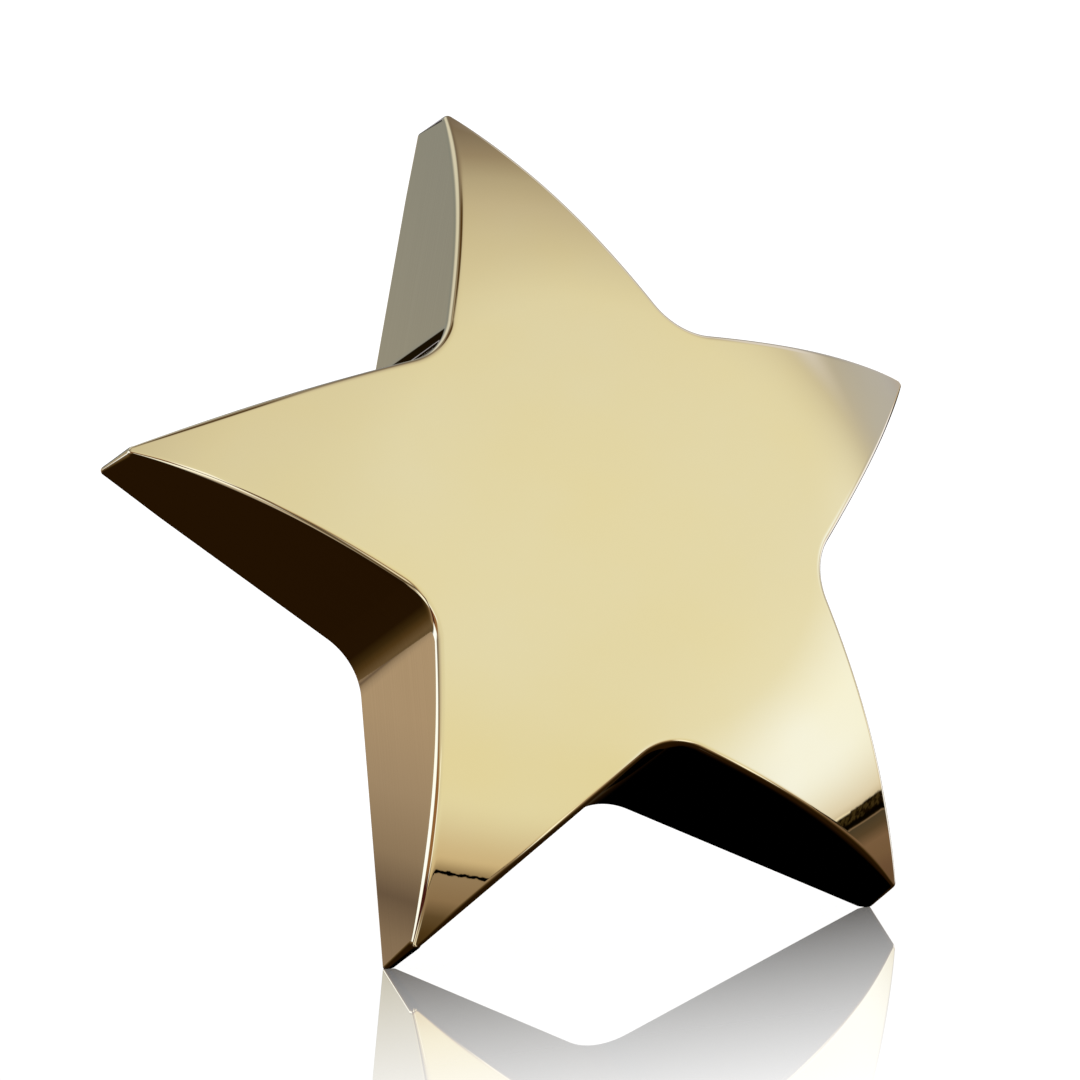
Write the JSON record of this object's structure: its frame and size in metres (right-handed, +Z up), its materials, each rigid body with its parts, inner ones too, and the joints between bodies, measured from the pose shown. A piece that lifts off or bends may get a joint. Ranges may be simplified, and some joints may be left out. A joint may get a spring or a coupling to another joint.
{
  "type": "star trophy",
  "caption": "Star-shaped standing award in mirror-polished brass, with a domed face, a closed flat back and a hinged rear strut that folds away.",
  "frame": {"origin": "on the table, under the middle of the whole award's box with its strut open", "axes": "+X to the right along the row of the star's points, -Y the way the domed face looks, +Z up"},
  "size_m": [0.1502, 0.0838, 0.1293],
  "materials": {
    "polished_gold": "mirror polished",
    "satin_gold": "fine brushed",
    "hinge_brass": "satin",
    "screw_steel": "turned and bright",
    "spring_steel": "dark oiled",
    "nylon": "natural",
    "black_rubber": "moulded matte"
  },
  "bodies": {
    "star": {"star_shell": "polished_gold", "back_plate": "satin_gold", "back_plate_screws": "screw_steel", "nut_plate": "spring_steel", "hinge_bracket": "hinge_brass", "hinge_screws": "screw_steel", "hinge_pin": "screw_steel", "pin_clip": "spring_steel", "hinge_washers": "nylon", "strut_bumper": "black_rubber"},
    "strut": {"strut_leg": "hinge_brass", "strut_boot": "black_rubber"}
  },
  "joints": [
    {"name": "strut_hinge", "type": "hinge", "parent": "star", "child": "strut", "pos_m": [0, 0.01353, 0.06351], "axis": [1, 0, 0], "range_deg": [-49.5, 0]}
  ]
}
